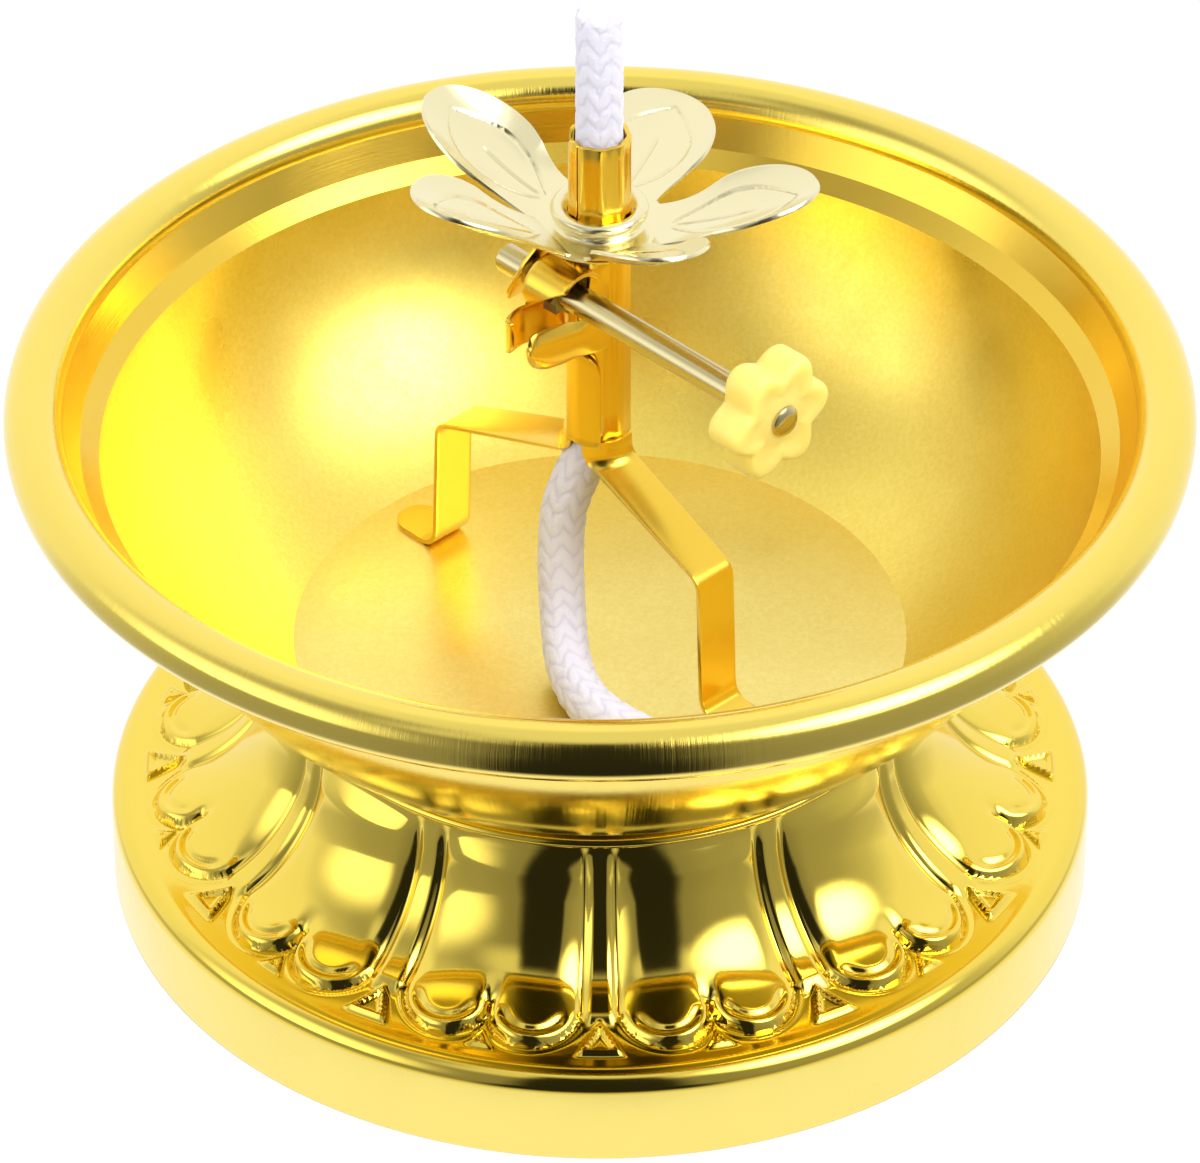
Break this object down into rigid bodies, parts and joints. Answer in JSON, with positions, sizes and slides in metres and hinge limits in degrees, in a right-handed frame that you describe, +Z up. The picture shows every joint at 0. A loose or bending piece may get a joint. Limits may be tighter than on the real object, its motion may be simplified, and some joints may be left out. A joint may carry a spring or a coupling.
{
  "type": "butter lamp",
  "caption": "Footed metal bowl lamp with a lotus-petal foot, a rolled rim and a loose wick burner with a flower collar and a turning feed knob.",
  "frame": {"origin": "centre of the foot's lower edge, on the table", "axes": "+Z up along the lamp's axis, -Y towards the pictured front, +X to its right"},
  "size_m": [0.1, 0.1, 0.0857],
  "materials": {
    "bowl_brass": "polished rim, satin inside",
    "foot_brass": "polished",
    "stand_brass": "polished",
    "collar_brass": "pale satin",
    "spindle_steel": "plated",
    "wheel_steel": "plain",
    "knob_plastic": "translucent",
    "wick_cotton": "braided cotton"
  },
  "bodies": {
    "lamp": {"bowl": "bowl_brass", "foot_shell": "foot_brass"},
    "burner": {"wick_stand": "stand_brass", "flower_collar": "collar_brass"},
    "feed": {"spindle": "spindle_steel", "feed_wheel": "wheel_steel", "knob": "knob_plastic"},
    "wick": {"wick": "wick_cotton", "wick_tail": "wick_cotton"}
  },
  "joints": [
    {"name": "burner_lift", "type": "slide", "parent": "lamp", "child": "burner", "axis": [0, 0, 1], "range_m": [0, 0.03]},
    {"name": "feed_turn", "type": "hinge", "parent": "burner", "child": "feed", "pos_m": [-0.00314, -0.00179, 0.06], "axis": [0.6947, -0.7193, 0], "range_deg": [-120, 180]},
    {"name": "wick_feed", "type": "slide", "parent": "burner", "child": "wick", "axis": [0, 0, 1], "range_m": [-0.00429, 0.00644], "deforming": ["wick_tail"]}
  ],
  "couplings": [
    {"joint": "feed_turn", "follows": "wick_feed", "rad_per_m": 487.8}
  ]
}
